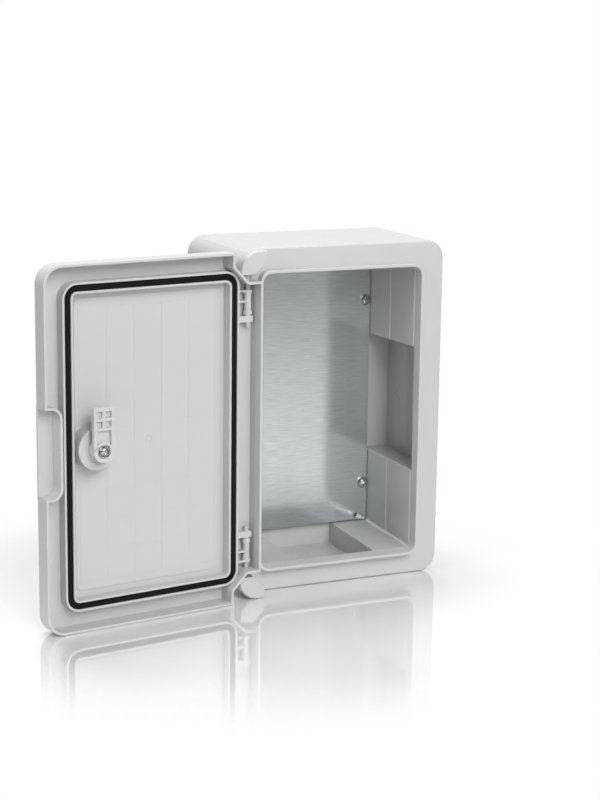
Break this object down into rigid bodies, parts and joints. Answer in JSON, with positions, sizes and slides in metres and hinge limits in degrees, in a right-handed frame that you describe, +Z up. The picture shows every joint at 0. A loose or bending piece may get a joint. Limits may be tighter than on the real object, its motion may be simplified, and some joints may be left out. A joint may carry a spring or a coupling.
{
  "type": "hinged plastic wall enclosure",
  "caption": "Wall-mounted plastic enclosure with a hinged, gasketed door, a quarter-turn cam lock, cable pockets in its walls and a removable metal mounting plate.",
  "frame": {"origin": "centre of the pattern of wall fixings, in the plane of the rear rim", "axes": "+Y into the wall, out of the fixings' mouths; +Z up; the door opens towards -Y"},
  "size_m": [0.3825, 0.1624, 0.3],
  "materials": {
    "housing_plastic": "light grey moulded plastic, satin outside, glossier inside",
    "fitting_plastic": "light grey moulded plastic, satin",
    "gasket_rubber": "black foamed seal",
    "galvanised_steel": "bright galvanised sheet with fine rolling lines",
    "plated_steel": "bright zinc plating",
    "zinc_casting": "plain die-cast zinc"
  },
  "bodies": {
    "housing": {"housing": "housing_plastic", "mounting_plate": "galvanised_steel", "plate_screw_1": "plated_steel", "plate_screw_2": "plated_steel", "plate_screw_3": "plated_steel", "plate_screw_4": "plated_steel", "plate_washer_1": "plated_steel", "plate_washer_2": "plated_steel", "plate_washer_3": "plated_steel", "plate_washer_4": "plated_steel"},
    "door": {"door_panel": "housing_plastic", "door_gasket": "gasket_rubber", "hinge_bracket_top": "housing_plastic", "hinge_bracket_bottom": "housing_plastic", "hinge_pin_top": "fitting_plastic", "hinge_pin_bottom": "fitting_plastic", "lock_barrel": "fitting_plastic", "lock_base": "fitting_plastic", "lock_seal": "gasket_rubber"},
    "lock": {"lock_core": "zinc_casting", "core_ring": "gasket_rubber", "lock_cam": "fitting_plastic", "cam_washer": "plated_steel", "cam_screw": "plated_steel"}
  },
  "joints": [
    {"name": "door_swing", "type": "hinge", "parent": "housing", "child": "door", "pos_m": [-0.092, -0.1183, 0], "axis": [0, 0, 1], "range_deg": [-8.5, 171.5]},
    {"name": "lock_turn", "type": "hinge", "parent": "door", "child": "lock", "pos_m": [-0.23403, -0.15095, 0], "axis": [0.1478, -0.989, 0], "range_deg": [0, 90]}
  ]
}
